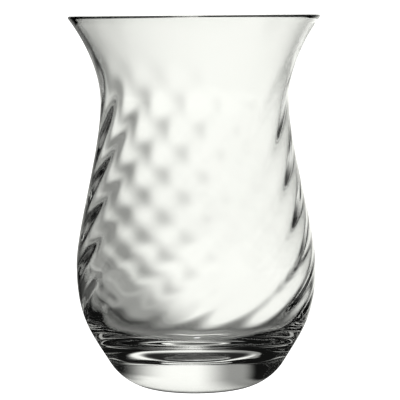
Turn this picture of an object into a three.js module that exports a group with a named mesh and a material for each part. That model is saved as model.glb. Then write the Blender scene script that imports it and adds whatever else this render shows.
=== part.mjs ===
// Small waisted tea glass: clear, empty, with a flared rim, a thick foot and shallow spiral ribs
// on the inner face of its wall. It is one closed solid in millimetres, with +Z up. The glass
// stands on the plane z = 0 with its axis on Z, and its front faces -Y.

import * as THREE from 'three';

// Outer outline, from the foot to the rim
const HEIGHT = 90.5;
const RING_RADIUS = 9.4; // outer edge of the flat ring that the glass stands on
const RING_WIDTH = 0.8;
const HOLLOW_DEPTH = 0.4; // rise of the underside inside that ring
const CORNER_RADIUS = 14; // round edge between the ring and the side
const SIDE_LEAN = 31.8; // degrees from upright where that round edge ends
const BELLY_RADIUS = 29.1;
const BELLY_HEIGHT = 30;
const WAIST_RADIUS = 22.8;
const WAIST_HEIGHT = 70;
const FLARE_RADIUS = 30.4; // outer radius where the flare meets the lip
const FLARE_LEAN = 36.2; // degrees from upright at the rim
const LIP_RADIUS = 0.4;

// How far each bend of the side reaches along the curve, as lengths of its control handles
const REACH_CORNER_UP = 8.7;
const REACH_BELLY_DOWN = 12.3;
const REACH_BELLY_UP = 8.9;
const REACH_WAIST_DOWN = 11.5;
const REACH_WAIST_UP = 6;
const REACH_RIM_DOWN = 8.3;

// Inner outline: an even wall that thickens towards the foot, then a round bowl and a flat floor
const WALL_AT_FOOT = 3.7;
const WALL_AT_RIM = 2 * LIP_RADIUS;
const FLOOR_HEIGHT = 10;
const FLOOR_RADIUS = 10; // flat middle of the floor
const BOWL_START = 0.52; // share of the side from corner to belly where the bowl begins
const REACH_BOWL_DOWN = 4;
const REACH_FLOOR_OUT = 6;

// Spiral ribs on the inner face
const RIB_COUNT = 15;
const RIB_HEIGHT = 0.22; // from hollow to crest
const RIB_TOP = 84; // the ribs fade in from here
const RIB_FULL_BELOW = 64;
const RIB_FULL_ABOVE = 23;
const RIB_END = 15; // and fade out here
const TURN_AT_TOP = 1.26; // degrees of turn per millimetre of height
const TURN_AT_END = 3.31;
const RIB_BEARING = 4.8; // degrees from the front to a crest at the top of the ribs

// Facets
const COLUMNS = 6 * RIB_COUNT;
const ROWS_HOLLOW = 3;
const ROWS_CORNER = 5;
const ROWS_FOOT = 5;
const ROWS_BODY = 7;
const ROWS_FLARE = 5;
const ROWS_LIP = 4;
const ROWS_FOOT_INSIDE = 6;
const ROWS_BODY_INSIDE = 14;
const ROWS_FLARE_INSIDE = 5;
const ROWS_BOWL = 5;

const point = (radius, height) => new THREE.Vector2(radius, height);

function leaning(degrees) {
  const angle = THREE.MathUtils.degToRad(degrees);
  return point(Math.sin(angle), Math.cos(angle));
}

function outwardNormal(direction) {
  return point(direction.y, -direction.x);
}

function arc(centre, radius, fromAngle, toAngle) {
  return new THREE.EllipseCurve(centre.x, centre.y, radius, radius, fromAngle, toAngle);
}

// A curve between two points that leaves each along a direction, for the length of its handle
function bend(start, startPull, end, endPull) {
  const leaving = start.clone().add(startPull);
  const arriving = end.clone().add(endPull);
  return new THREE.CubicBezierCurve(start, leaving, arriving, end);
}

// The underside, the round corner and the three bends of the side, from the axis up to the rim
function outerCurves() {
  const cornerEnd = THREE.MathUtils.degToRad(-SIDE_LEAN);
  const corner = arc(point(RING_RADIUS, CORNER_RADIUS), CORNER_RADIUS, -Math.PI / 2, cornerEnd);
  const foot = corner.getPoint(1);
  const belly = point(BELLY_RADIUS, BELLY_HEIGHT);
  const waist = point(WAIST_RADIUS, WAIST_HEIGHT);
  const flare = leaning(FLARE_LEAN);
  const lipMiddle = point(0, HEIGHT - LIP_RADIUS);
  const rim = outwardNormal(flare).multiplyScalar(LIP_RADIUS).add(lipMiddle);
  rim.x = FLARE_RADIUS;
  const ringInside = RING_RADIUS - RING_WIDTH;
  const crown = point(0, HOLLOW_DEPTH);
  const crownSide = point(ringInside / 2, HOLLOW_DEPTH);
  const cornerPull = leaning(SIDE_LEAN).multiplyScalar(REACH_CORNER_UP);
  const rimPull = flare.multiplyScalar(-REACH_RIM_DOWN);
  return {
    hollow: new THREE.QuadraticBezierCurve(crown, crownSide, point(ringInside, 0)),
    corner,
    foot: bend(foot, cornerPull, belly, point(0, -REACH_BELLY_DOWN)),
    body: bend(belly, point(0, REACH_BELLY_UP), waist, point(0, -REACH_WAIST_DOWN)),
    flare: bend(waist, point(0, REACH_WAIST_UP), rim, rimPull),
  };
}

function lipCurve(rim) {
  const lean = THREE.MathUtils.degToRad(FLARE_LEAN);
  const middle = point(rim.x - LIP_RADIUS * Math.cos(lean), HEIGHT - LIP_RADIUS);
  return arc(middle, LIP_RADIUS, -lean, Math.PI - lean);
}

// The point of the inner face that lies opposite a place on one of the outer curves
function insidePoint(curve, share, rimHeight) {
  const outside = curve.getPoint(share);
  const wall = THREE.MathUtils.lerp(WALL_AT_FOOT, WALL_AT_RIM, outside.y / rimHeight);
  const normal = outwardNormal(curve.getTangent(share));
  return outside.sub(normal.multiplyScalar(wall));
}

function bowlCurve(footCurve, rimHeight) {
  const start = insidePoint(footCurve, BOWL_START, rimHeight);
  const down = footCurve.getTangent(BOWL_START).multiplyScalar(-REACH_BOWL_DOWN);
  return bend(start, down, point(FLOOR_RADIUS, FLOOR_HEIGHT), point(REACH_FLOOR_OUT, 0));
}

// Rows of points along a curve, without its first point
function rowsAlong(rowCount, pointAt) {
  return Array.from({ length: rowCount }, (_, row) => pointAt((row + 1) / rowCount));
}

// The whole section: up the outside, over the lip, down the inside and back to the axis
function section() {
  const outer = outerCurves();
  const rim = outer.flare.getPoint(1);
  const lip = lipCurve(rim);
  const bowl = bowlCurve(outer.foot, rim.y);
  const along = (curve) => (share) => curve.getPoint(share);
  const insideDown = (curve, end) => (share) => {
    const place = THREE.MathUtils.lerp(1, end, share);
    return insidePoint(curve, place, rim.y);
  };
  const outside = [
    outer.hollow.getPoint(0),
    ...rowsAlong(ROWS_HOLLOW, along(outer.hollow)),
    outer.corner.getPoint(0),
    ...rowsAlong(ROWS_CORNER, along(outer.corner)),
    ...rowsAlong(ROWS_FOOT, along(outer.foot)),
    ...rowsAlong(ROWS_BODY, along(outer.body)),
    ...rowsAlong(ROWS_FLARE, along(outer.flare)),
    ...rowsAlong(ROWS_LIP, along(lip)),
  ];
  const inside = [
    ...rowsAlong(ROWS_FLARE_INSIDE, insideDown(outer.flare, 0)),
    ...rowsAlong(ROWS_BODY_INSIDE, insideDown(outer.body, 0)),
    ...rowsAlong(ROWS_FOOT_INSIDE, insideDown(outer.foot, BOWL_START)),
    ...rowsAlong(ROWS_BOWL, along(bowl)),
    point(0, FLOOR_HEIGHT),
  ];
  return { points: [...outside, ...inside], insideStart: outside.length };
}

// The share of the full rib at a height: none at the flare, all along the body, none on the floor
function ribShare(height) {
  const fadeIn = 1 - THREE.MathUtils.smoothstep(height, RIB_FULL_BELOW, RIB_TOP);
  const fadeOut = THREE.MathUtils.smoothstep(height, RIB_END, RIB_FULL_ABOVE);
  return fadeIn * fadeOut;
}

// How far the ribs have turned at a height, in radians: the turn per millimetre grows evenly downwards
function ribTurn(height) {
  const drop = Math.max(RIB_TOP - height, 0);
  const growth = (TURN_AT_END - TURN_AT_TOP) / (RIB_TOP - RIB_END);
  return THREE.MathUtils.degToRad(RIB_BEARING - drop * (TURN_AT_TOP + (growth * drop) / 2));
}

// The section turned about the axis. Each row of the inner face is then turned with the ribs, so that
// its columns follow them, and moved in or out by the rib wave.
function glassGeometry() {
  const { points, insideStart } = section();
  const geometry = new THREE.LatheGeometry(points, COLUMNS);
  const position = geometry.getAttribute('position');
  for (let column = 0; column <= COLUMNS; column += 1) {
    const bearing = (2 * Math.PI * column) / COLUMNS;
    const wave = (Math.cos(RIB_COUNT * bearing) * RIB_HEIGHT) / 2;
    for (let row = insideStart; row < points.length - 1; row += 1) {
      const { x: radius, y: height } = points[row];
      const ribbed = radius - wave * ribShare(height);
      const turned = bearing + ribTurn(height);
      const vertex = column * points.length + row;
      position.setXYZ(vertex, ribbed * Math.sin(turned), height, ribbed * Math.cos(turned));
    }
  }
  geometry.rotateX(Math.PI / 2);
  geometry.computeVertexNormals();
  return geometry;
}

const clearGlass = new THREE.MeshStandardMaterial({ color: 0xf1f4f3, roughness: 0.03, metalness: 0 });
clearGlass.transparent = true;
clearGlass.opacity = 0.3;

const glass = new THREE.Mesh(glassGeometry(), clearGlass);
glass.name = 'tea_glass';

const model = new THREE.Group();
model.add(glass);

export default model;
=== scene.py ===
"""A clear, empty, waisted tea glass with spiral ribs inside its wall, on a white table in a tent."""

import math

import bpy
import numpy as np
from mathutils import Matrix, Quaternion, Vector


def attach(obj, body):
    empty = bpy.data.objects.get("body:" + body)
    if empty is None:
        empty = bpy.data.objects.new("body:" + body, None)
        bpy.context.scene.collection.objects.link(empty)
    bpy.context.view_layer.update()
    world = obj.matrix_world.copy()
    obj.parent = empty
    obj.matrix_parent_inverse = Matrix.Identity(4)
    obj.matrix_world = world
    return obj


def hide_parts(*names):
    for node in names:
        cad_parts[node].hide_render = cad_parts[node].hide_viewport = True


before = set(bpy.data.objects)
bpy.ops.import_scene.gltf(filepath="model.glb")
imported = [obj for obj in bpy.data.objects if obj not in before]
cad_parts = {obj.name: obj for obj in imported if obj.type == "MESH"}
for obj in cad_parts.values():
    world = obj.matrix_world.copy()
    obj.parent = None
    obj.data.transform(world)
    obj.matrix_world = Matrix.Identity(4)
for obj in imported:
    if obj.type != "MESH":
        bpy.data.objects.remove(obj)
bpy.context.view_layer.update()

MILLIMETRE = 0.001

# Outer outline in millimetres, from the foot to the rim
HEIGHT = 90.5
RING_RADIUS = 9.4  # outer edge of the flat ring that the glass stands on
RING_WIDTH = 0.8
HOLLOW_DEPTH = 0.4  # rise of the underside inside that ring
CORNER_RADIUS = 14.0  # round edge between the ring and the side
SIDE_LEAN = 31.8  # degrees from upright where that round edge ends
BELLY_RADIUS = 29.1
BELLY_HEIGHT = 30.0
WAIST_RADIUS = 22.8
WAIST_HEIGHT = 70.0
FLARE_RADIUS = 30.4  # where the flare meets the lip
FLARE_LEAN = 36.2  # degrees from upright at the rim
LIP_RADIUS = 0.4

# Lengths of the curve handles at each bend of the side
REACH_CORNER_UP = 8.7
REACH_BELLY_DOWN = 12.3
REACH_BELLY_UP = 8.9
REACH_WAIST_DOWN = 11.5
REACH_WAIST_UP = 6.0
REACH_RIM_DOWN = 8.3

# Inner outline: an even wall that thickens towards the foot, then a round bowl and a flat floor
WALL_AT_FOOT = 3.7
WALL_AT_RIM = 2 * LIP_RADIUS
FLOOR_HEIGHT = 10.0
FLOOR_RADIUS = 10.0  # flat middle of the floor
BOWL_START = 0.52  # share of the side from corner to belly where the bowl begins
REACH_BOWL_DOWN = 4.0
REACH_FLOOR_OUT = 6.0

# Spiral ribs on the inner face
RIB_COUNT = 15
RIB_HEIGHT = 0.22  # from hollow to crest
RIB_TOP = 84.0  # the ribs fade in from here
RIB_FULL_BELOW = 64.0
RIB_FULL_ABOVE = 23.0
RIB_END = 15.0  # and fade out here
TURN_AT_TOP = 1.26  # degrees of turn per millimetre of height
TURN_AT_END = 3.31
RIB_BEARING = 4.8  # degrees from the front to a crest at the top of the ribs

# How finely the glass is drawn
COLUMNS = 20 * RIB_COUNT
ROWS_HOLLOW = 10
ROWS_CORNER = 24
ROWS_FOOT = 36
ROWS_BODY = 40
ROWS_FLARE = 30
ROWS_LIP = 14
ROWS_FLARE_INSIDE = 24
ROWS_BODY_INSIDE = 66
ROWS_FOOT_INSIDE = 32
ROWS_BOWL = 20
ROWS_FLOOR = 8

# The glass itself
GLASS_IOR = 1.52
GLASS_COLOUR = (1.0, 1.0, 1.0, 1.0)
CORD_COLOUR = (0.985, 0.992, 0.985, 1.0)
CORD_SCALE = 90.0  # cells to a metre
WAVINESS_SCALE = 60.0
WAVINESS_DETAIL = 1.0
WAVINESS_DEPTH = 0.06  # millimetres

# The light tent that the glass stands in. It is round, with a table that curves up into its wall.
TENT_RADIUS = 900.0
TENT_HEIGHT = 1200.0
TENT_COVE = 120.0
TENT_DROP = 0.5  # its table lies this far under the glass
TENT_MIDDLE = (1.0, 0.5)  # radius of the hole in the middle of its table and of its roof
TENT_COLUMNS = 360
TENT_ROWS_TABLE = 220
TENT_ROWS_COVE = 13
TENT_ROWS_WALL = 30
TENT_ROWS_ROOF = 19
TENT_COLOUR = (0.992, 1.0, 0.953, 1.0)
TABLE_LEVEL = 1.0  # what lies lower belongs to its table

# A bright panel behind the glass. Each pair is a stretch over which it fades: degrees of bearing from
# straight behind, degrees of height above the table, or millimetres.
GLOW_PEAK = 1.1
GLOW_DARK = 0.005
PANEL_LEFT = (-1.0, 15.0)
PANEL_RIGHT = (10.0, 43.0)
PANEL_TOP = (80.0, 89.0)
SWEEP_RIGHT = (20.0, 46.0)  # the wider foot of the panel, where it sweeps into the table
SWEEP_HEIGHT = (12.0, 92.0)
WING_SHARE = 0.3  # a dimmer wing to the left of the panel
WING_LEFT = (20.0, 30.0)
GLASS_SHADOW_GLOW = 0.02  # painted shadow of the glass: dim glow of the tent's table under the glass and close round it
# How far from the axis that painted shadow reaches before it fades out, in millimetres
GLASS_SHADOW_REACH = (22.0, 48.0)

# A weaker glow on the table beside the glass and in front of it, and low on the wall in front. Each
# pair is a stretch over which it grows or fades.
FILL_GLOW = 0.55
FILL_BEARING = (28.0, 72.0)
FILL_START = (85.0, 130.0)  # it starts this far from the glass at the sides
FLANK_BEARING = (50.0, 70.0)
FLANK_END = (190.0, 250.0)  # and ends here near the panel
NEAR_BEARING = (88.0, 105.0)
NEAR_START = (40.0, 75.0)  # it starts nearer the glass in front
FRONT_BEARING = (115.0, 140.0)
FRONT_TOP = (4.0, 12.0)  # and climbs the wall there

# The white table and the white room that the camera sees
FLOOR_HALF_WIDTH = 6.0  # metres
FLOOR_COLOUR = (0.9, 0.9, 0.9, 1.0)
FLOOR_ROUGHNESS = 0.9
ROOM_STRENGTH = 1.6

# The camera
CAMERA_DISTANCE = 550.0
CAMERA_HEIGHT = 92.0
CAMERA_ACROSS = 1.07
TARGET_HEIGHT = 45.73
CAMERA_ROLL = -0.5
FOCAL_LENGTH = 204.4
SENSOR_WIDTH = 36.0

# How often a ray of light may turn in the glass
LIGHT_BOUNCES = 32


def smooth_step(value, low, high):
    share = np.clip((value - low) / (high - low), 0, 1)
    return share * share * (3 - 2 * share)


def point(radius, height):
    return np.array([radius, height], float)


def leaning(degrees):
    angle = math.radians(degrees)
    return point(math.sin(angle), math.cos(angle))


def outward_normal(direction):
    return point(direction[1], -direction[0]) / np.linalg.norm(direction)


class Bend:
    """A curve between two points that leaves each along a pull."""

    def __init__(self, start, start_pull, end, end_pull):
        self.knots = (start, start + start_pull, end + end_pull, end)

    def place(self, share):
        a, b, c, d = self.knots
        rest = 1 - share
        return rest**3 * a + 3 * rest**2 * share * b + 3 * rest * share**2 * c + share**3 * d

    def tangent(self, share):
        a, b, c, d = self.knots
        rest = 1 - share
        slope = rest**2 * (b - a) + 2 * rest * share * (c - b) + share**2 * (d - c)
        return slope / np.linalg.norm(slope)


class Arc:
    """A round edge from one angle to another, in radians."""

    def __init__(self, centre, radius, start, end):
        self.centre, self.radius, self.start, self.end = centre, radius, start, end

    def place(self, share):
        angle = self.start + share * (self.end - self.start)
        return self.centre + self.radius * point(math.cos(angle), math.sin(angle))


def rows_along(count, place):
    """Rows of points along a curve, without its first point."""
    return [place((row + 1) / count) for row in range(count)]


def section():
    """The whole section, from the axis under the foot over the lip to the axis on the floor.

    The second value is the row where the inner face starts.
    """
    corner = Arc(point(RING_RADIUS, CORNER_RADIUS), CORNER_RADIUS, -math.pi / 2, -math.radians(SIDE_LEAN))
    belly = point(BELLY_RADIUS, BELLY_HEIGHT)
    waist = point(WAIST_RADIUS, WAIST_HEIGHT)
    flare_lean = math.radians(FLARE_LEAN)
    lip_middle = point(FLARE_RADIUS - LIP_RADIUS * math.cos(flare_lean), HEIGHT - LIP_RADIUS)
    lip = Arc(lip_middle, LIP_RADIUS, -flare_lean, math.pi - flare_lean)
    rim = lip.place(0)
    foot_curve = Bend(
        corner.place(1), REACH_CORNER_UP * leaning(SIDE_LEAN), belly, point(0, -REACH_BELLY_DOWN)
    )
    body_curve = Bend(belly, point(0, REACH_BELLY_UP), waist, point(0, -REACH_WAIST_DOWN))
    flare_curve = Bend(waist, point(0, REACH_WAIST_UP), rim, -REACH_RIM_DOWN * leaning(FLARE_LEAN))
    ring_inside = RING_RADIUS - RING_WIDTH

    def hollow(share):
        return point(share * ring_inside, HOLLOW_DEPTH * (1 - share**2))

    def inside(curve, end):
        def place(share):
            where = 1 - share * (1 - end)
            outside = curve.place(where)
            wall = WALL_AT_FOOT + (WALL_AT_RIM - WALL_AT_FOOT) * outside[1] / rim[1]
            return outside - wall * outward_normal(curve.tangent(where))

        return place

    bowl_start = inside(foot_curve, BOWL_START)(1)
    bowl = Bend(
        bowl_start,
        -REACH_BOWL_DOWN * foot_curve.tangent(BOWL_START),
        point(FLOOR_RADIUS, FLOOR_HEIGHT),
        point(REACH_FLOOR_OUT, 0),
    )
    outside_rows = [
        hollow(0),
        *rows_along(ROWS_HOLLOW, hollow),
        corner.place(0),
        *rows_along(ROWS_CORNER, corner.place),
        *rows_along(ROWS_FOOT, foot_curve.place),
        *rows_along(ROWS_BODY, body_curve.place),
        *rows_along(ROWS_FLARE, flare_curve.place),
        *rows_along(ROWS_LIP, lip.place),
    ]
    inside_rows = [
        *rows_along(ROWS_FLARE_INSIDE, inside(flare_curve, 0)),
        *rows_along(ROWS_BODY_INSIDE, inside(body_curve, 0)),
        *rows_along(ROWS_FOOT_INSIDE, inside(foot_curve, BOWL_START)),
        *rows_along(ROWS_BOWL, bowl.place),
        *rows_along(ROWS_FLOOR, lambda share: point(FLOOR_RADIUS * (1 - share), FLOOR_HEIGHT)),
    ]
    return np.array(outside_rows + inside_rows), len(outside_rows)


def rib_share(height):
    """The share of the full rib at a height: none at the flare, all along the body, none on the floor."""
    fade_in = 1 - smooth_step(height, RIB_FULL_BELOW, RIB_TOP)
    return fade_in * smooth_step(height, RIB_END, RIB_FULL_ABOVE)


def rib_turn(height):
    """How far the ribs have turned at a height, in radians: the turn grows evenly downwards."""
    drop = np.maximum(RIB_TOP - height, 0)
    growth = (TURN_AT_END - TURN_AT_TOP) / (RIB_TOP - RIB_END)
    return np.radians(RIB_BEARING - drop * (TURN_AT_TOP + growth * drop / 2))


def new_object(name, vertices, faces):
    mesh = bpy.data.meshes.new(name)
    mesh.from_pydata(vertices.tolist(), [], faces)
    thing = bpy.data.objects.new(name, mesh)
    bpy.context.scene.collection.objects.link(thing)
    return thing


def ring_faces(first, second, columns):
    """Quads between two rings of vertices that start at these numbers."""
    return [
        (first + column, first + (column + 1) % columns, second + (column + 1) % columns, second + column)
        for column in range(columns)
    ]


def glass_piece():
    """The section turned about the axis, with the inner face moved in and out by the turning ribs."""
    rows, inside_start = section()
    bearing = np.arange(COLUMNS) * 2 * math.pi / COLUMNS
    wave = RIB_HEIGHT / 2 * np.cos(RIB_COUNT * bearing)
    rings = []
    for number, (radius, height) in enumerate(rows[1:-1], start=1):
        ribbed = np.full(COLUMNS, radius)
        turned = bearing
        if number >= inside_start:
            ribbed = radius - wave * rib_share(height)
            turned = bearing + rib_turn(height)
        rings.append(
            np.column_stack([ribbed * np.sin(turned), -ribbed * np.cos(turned), np.full(COLUMNS, height)])
        )
    under = [[0.0, 0.0, rows[0][1]]]
    floor = [[0.0, 0.0, rows[-1][1]]]
    vertices = np.concatenate([under, *rings, floor]) * MILLIMETRE
    last_ring = 1 + (len(rings) - 1) * COLUMNS
    floor_middle = len(vertices) - 1
    faces = [(0, 1 + (column + 1) % COLUMNS, 1 + column) for column in range(COLUMNS)]
    for ring in range(len(rings) - 1):
        first = 1 + ring * COLUMNS
        faces += ring_faces(first, first + COLUMNS, COLUMNS)
    faces += [
        (last_ring + column, last_ring + (column + 1) % COLUMNS, floor_middle) for column in range(COLUMNS)
    ]
    glass = new_object("glass", vertices, faces)
    glass.data.shade_smooth()
    return glass


def glass_material():
    """Clear glass with faint cords of another tint in it and the slight waviness that a mould leaves."""
    material = bpy.data.materials.new("clear_glass")
    material.use_nodes = True
    nodes = material.node_tree.nodes
    links = material.node_tree.links
    shader = nodes["Principled BSDF"]
    shader.inputs["Roughness"].default_value = 0.0
    shader.inputs["IOR"].default_value = GLASS_IOR
    shader.inputs["Transmission Weight"].default_value = 1.0
    place = nodes.new("ShaderNodeTexCoord")
    waviness = nodes.new("ShaderNodeTexNoise")
    waviness.inputs["Scale"].default_value = WAVINESS_SCALE
    waviness.inputs["Detail"].default_value = WAVINESS_DETAIL
    bump = nodes.new("ShaderNodeBump")
    bump.inputs["Strength"].default_value = 1.0
    bump.inputs["Distance"].default_value = WAVINESS_DEPTH * MILLIMETRE
    cords = nodes.new("ShaderNodeTexNoise")
    cords.inputs["Scale"].default_value = CORD_SCALE
    tint = nodes.new("ShaderNodeMix")
    tint.data_type = "RGBA"
    tint.inputs["A"].default_value = GLASS_COLOUR
    tint.inputs["B"].default_value = CORD_COLOUR
    links.new(place.outputs["Object"], waviness.inputs["Vector"])
    links.new(waviness.outputs["Fac"], bump.inputs["Height"])
    links.new(bump.outputs["Normal"], shader.inputs["Normal"])
    links.new(place.outputs["Object"], cords.inputs["Vector"])
    links.new(cords.outputs["Fac"], tint.inputs["Factor"])
    links.new(tint.outputs["Result"], shader.inputs["Base Color"])
    return material


def panel_glow(bearing, reach, up, height):
    """The bright panel behind the glass, with its dimmer wing, and a painted shadow of the glass: the
    table close to the glass is dark.
    """
    middle = 1 - smooth_step(-bearing, *PANEL_LEFT)
    wing = 1 - smooth_step(-bearing, *WING_LEFT)
    left = middle + WING_SHARE * wing * (1 - middle)
    right = 1 - smooth_step(bearing, *PANEL_RIGHT)
    sweep = 1 - smooth_step(up, *SWEEP_HEIGHT)
    right += sweep * (1 - smooth_step(bearing, *SWEEP_RIGHT) - right)
    panel = left * right * (1 - smooth_step(height, *PANEL_TOP))
    glow = GLOW_DARK + (GLOW_PEAK - GLOW_DARK) * panel
    # Painted shadow: the tent's table under the glass and close round it is dimmed in place of the glass's
    # shadow
    shadow_share = np.where(up < TABLE_LEVEL, 1 - smooth_step(reach, *GLASS_SHADOW_REACH), 0)
    return glow + shadow_share * (GLASS_SHADOW_GLOW - glow)


def fill_glow(turn, reach, up, height):
    """The weaker glow on the table beside the glass and on the table and the wall in front."""
    beside = smooth_step(reach, *FILL_START)
    beside += smooth_step(turn, *NEAR_BEARING) * (smooth_step(reach, *NEAR_START) - beside)
    beside *= 1 - (1 - smooth_step(turn, *FLANK_BEARING)) * smooth_step(reach, *FLANK_END)
    front = smooth_step(turn, *FRONT_BEARING) * (1 - smooth_step(height, *FRONT_TOP))
    return FILL_GLOW * smooth_step(turn, *FILL_BEARING) * np.where(up < TABLE_LEVEL, beside, front)


def tent_glow(places):
    """How bright the tent is at each of these places, in millimetres."""
    across, back, up = places.T
    reach = np.hypot(across, back)
    bearing = np.degrees(np.arctan2(across, back))
    height = np.degrees(np.arctan2(up, reach))
    panel = panel_glow(bearing, reach, up, height)
    return np.maximum(panel, fill_glow(np.abs(bearing), reach, up, height))


def tent_material():
    material = bpy.data.materials.new("tent")
    material.use_nodes = True
    nodes = material.node_tree.nodes
    links = material.node_tree.links
    nodes.clear()
    glow = nodes.new("ShaderNodeAttribute")
    glow.attribute_name = "glow"
    light = nodes.new("ShaderNodeEmission")
    light.inputs["Color"].default_value = TENT_COLOUR
    output = nodes.new("ShaderNodeOutputMaterial")
    links.new(glow.outputs["Fac"], light.inputs["Strength"])
    links.new(light.outputs["Emission"], output.inputs["Surface"])
    return material


def tent_rows():
    """Radius and height of each ring of the tent: along the table, up the wall and in over the roof."""
    cove_start = TENT_RADIUS - TENT_COVE
    rows = [(reach, -TENT_DROP) for reach in np.linspace(TENT_MIDDLE[0], cove_start, TENT_ROWS_TABLE)]
    for angle in np.linspace(0, math.pi / 2, TENT_ROWS_COVE + 1)[1:]:
        reach = cove_start + TENT_COVE * math.sin(angle)
        rows.append((reach, TENT_COVE - TENT_DROP - TENT_COVE * math.cos(angle)))
    rows += [(TENT_RADIUS, height) for height in np.linspace(TENT_COVE, TENT_HEIGHT, TENT_ROWS_WALL)]
    roof = np.linspace(TENT_RADIUS, TENT_MIDDLE[1], TENT_ROWS_ROOF + 1)[1:]
    return rows + [(reach, TENT_HEIGHT) for reach in roof]


def light_tent():
    """A tent that is seen only through the glass and mirrored in it."""
    bearing = np.arange(TENT_COLUMNS) * 2 * math.pi / TENT_COLUMNS
    rings = [
        np.column_stack([reach * np.cos(bearing), reach * np.sin(bearing), np.full(TENT_COLUMNS, height)])
        for reach, height in tent_rows()
    ]
    places = np.concatenate(rings)
    faces = []
    for ring in range(len(rings) - 1):
        faces += ring_faces(ring * TENT_COLUMNS, (ring + 1) * TENT_COLUMNS, TENT_COLUMNS)
    tent = new_object("tent", places * MILLIMETRE, faces)
    glow = tent.data.attributes.new("glow", "FLOAT", "POINT")
    glow.data.foreach_set("value", tent_glow(places).astype(np.float32))
    tent.data.materials.append(tent_material())
    tent.visible_camera = False
    tent.visible_diffuse = False
    tent.visible_shadow = False


def white_table():
    """The table round the glass. Through the glass, the tent's own table shows in its place."""
    half = FLOOR_HALF_WIDTH
    corners = np.array([(-half, -half, 0), (half, -half, 0), (half, half, 0), (-half, half, 0)])
    table = new_object("table", corners, [(0, 1, 2, 3)])
    material = bpy.data.materials.new("white_table")
    material.use_nodes = True
    shader = material.node_tree.nodes["Principled BSDF"]
    shader.inputs["Base Color"].default_value = FLOOR_COLOUR
    shader.inputs["Roughness"].default_value = FLOOR_ROUGHNESS
    shader.inputs["Specular IOR Level"].default_value = 0.0
    table.data.materials.append(material)
    table.visible_transmission = False
    table.visible_glossy = False


def white_world():
    world = bpy.data.worlds.new("studio")
    world.use_nodes = True
    background = world.node_tree.nodes["Background"]
    background.inputs["Color"].default_value = (1, 1, 1, 1)
    background.inputs["Strength"].default_value = ROOM_STRENGTH
    bpy.context.scene.world = world


def studio_camera():
    camera = bpy.data.objects.new("camera", bpy.data.cameras.new("camera"))
    bpy.context.scene.collection.objects.link(camera)
    bpy.context.scene.camera = camera
    place = Vector((CAMERA_ACROSS, -CAMERA_DISTANCE, CAMERA_HEIGHT)) * MILLIMETRE
    target = Vector((CAMERA_ACROSS, 0, TARGET_HEIGHT)) * MILLIMETRE
    aim = (target - place).to_track_quat("-Z", "Y")
    camera.location = place
    camera.rotation_mode = "QUATERNION"
    camera.rotation_quaternion = aim @ Quaternion((0, 0, 1), math.radians(CAMERA_ROLL))
    camera.data.sensor_width = SENSOR_WIDTH
    camera.data.lens = FOCAL_LENGTH


def render_settings():
    scene = bpy.context.scene
    scene.view_settings.view_transform = "Standard"
    scene.cycles.max_bounces = LIGHT_BOUNCES
    scene.cycles.transmission_bounces = LIGHT_BOUNCES
    scene.cycles.glossy_bounces = LIGHT_BOUNCES
    scene.cycles.caustics_reflective = True
    scene.cycles.caustics_refractive = True
    scene.cycles.sample_clamp_indirect = 0


studio_camera()
glass = glass_piece()
glass.data.materials.append(glass_material())

# The glass is set to leave no shadow or tint on the white table
glass.visible_shadow = False
glass.visible_diffuse = False

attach(glass, "root")
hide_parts("tea_glass")

light_tent()
white_table()
white_world()
render_settings()
